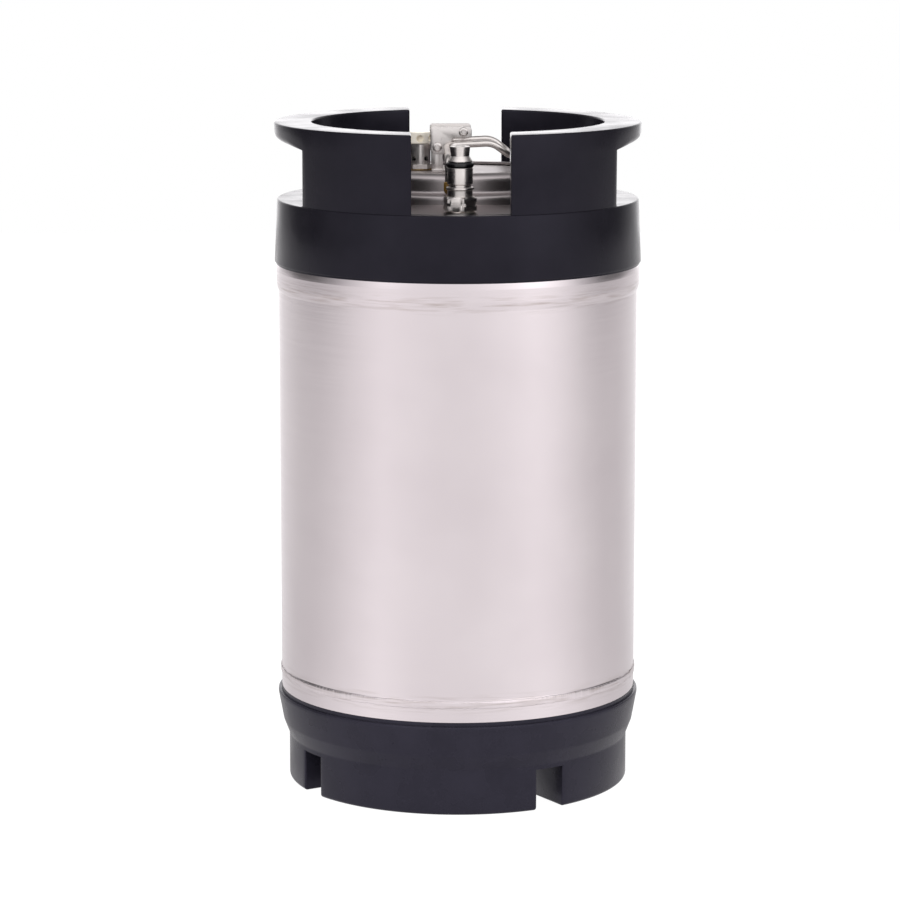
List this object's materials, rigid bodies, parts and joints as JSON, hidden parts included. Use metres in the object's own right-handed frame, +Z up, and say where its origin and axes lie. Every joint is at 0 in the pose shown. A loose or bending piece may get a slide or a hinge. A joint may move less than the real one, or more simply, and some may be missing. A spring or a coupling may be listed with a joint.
{
  "type": "beverage tank",
  "caption": "Upright stainless beverage tank with rubber foot and handle boots, oval lid held by a swing-over wire latch, pull relief valve and spring-valved coupling posts.",
  "frame": {"origin": "on the tank's axis at the floor", "axes": "+Z up along the tank, +X along the lid towards the latch handle, -Y the front with the gas post"},
  "size_m": [0.221, 0.2208, 0.402],
  "materials": {
    "satin_stainless": "satin, fine brushed",
    "bright_stainless": "bright machined",
    "black_rubber": "matt moulded",
    "black_oring": "smooth",
    "ivory_plastic": "smooth moulded",
    "amber_rubber": "smooth soft tip",
    "tan_gasket": "flat"
  },
  "bodies": {
    "tank": {"tank_shell": "satin_stainless", "top_head": "satin_stainless", "bottom_head": "satin_stainless", "top_boot": "black_rubber", "bottom_boot": "black_rubber", "gas_fitting": "bright_stainless", "gas_post": "bright_stainless", "gas_post_oring": "black_oring", "gas_poppet_spring": "bright_stainless", "gas_dip_tube": "bright_stainless", "gas_tube_oring": "black_oring", "liquid_fitting": "bright_stainless", "liquid_post": "bright_stainless", "liquid_post_oring": "black_oring", "liquid_poppet_spring": "bright_stainless", "liquid_dip_tube": "bright_stainless", "liquid_tube_oring": "black_oring"},
    "lid": {"lid_plate": "satin_stainless", "lid_oring": "black_oring", "lid_bracket": "bright_stainless", "latch_pivot_pin": "bright_stainless", "relief_body": "bright_stainless", "relief_gasket": "tan_gasket", "relief_nut": "bright_stainless", "relief_bonnet": "bright_stainless", "relief_spring": "bright_stainless"},
    "latch": {"latch_cheeks": "bright_stainless", "latch_cross_pin": "bright_stainless", "latch_handle": "bright_stainless", "latch_feet": "amber_rubber"},
    "relief": {"relief_stem": "bright_stainless", "relief_seal": "black_oring", "relief_knob": "ivory_plastic"},
    "gas_valve": {"gas_poppet": "bright_stainless", "gas_poppet_seal": "black_oring"},
    "liquid_valve": {"liquid_poppet": "bright_stainless", "liquid_poppet_seal": "black_oring"}
  },
  "joints": [
    {"name": "lid_sink", "type": "slide", "parent": "tank", "child": "lid", "axis": [0, 0, -1], "range_m": [0, 0.00706]},
    {"name": "latch_swing", "type": "hinge", "parent": "lid", "child": "latch", "pos_m": [-0.0125, 0, 0.38716], "axis": [0, -1, 0], "range_deg": [0, 90]},
    {"name": "relief_pull", "type": "slide", "parent": "lid", "child": "relief", "axis": [0, 0, 1], "range_m": [0, 0.003], "stiffness_N_per_m": 800, "springref_m": -0.004, "deforming": ["relief_spring"]},
    {"name": "gas_press", "type": "slide", "parent": "tank", "child": "gas_valve", "axis": [0, 0, -1], "range_m": [0, 0.003], "stiffness_N_per_m": 600, "springref_m": -0.004, "deforming": ["gas_poppet_spring"]},
    {"name": "liquid_press", "type": "slide", "parent": "tank", "child": "liquid_valve", "axis": [0, 0, -1], "range_m": [0, 0.003], "stiffness_N_per_m": 600, "springref_m": -0.004, "deforming": ["liquid_poppet_spring"]}
  ],
  "couplings": [
    {"joint": "latch_swing", "follows": "lid_sink", "rad_per_m": 222.2}
  ]
}
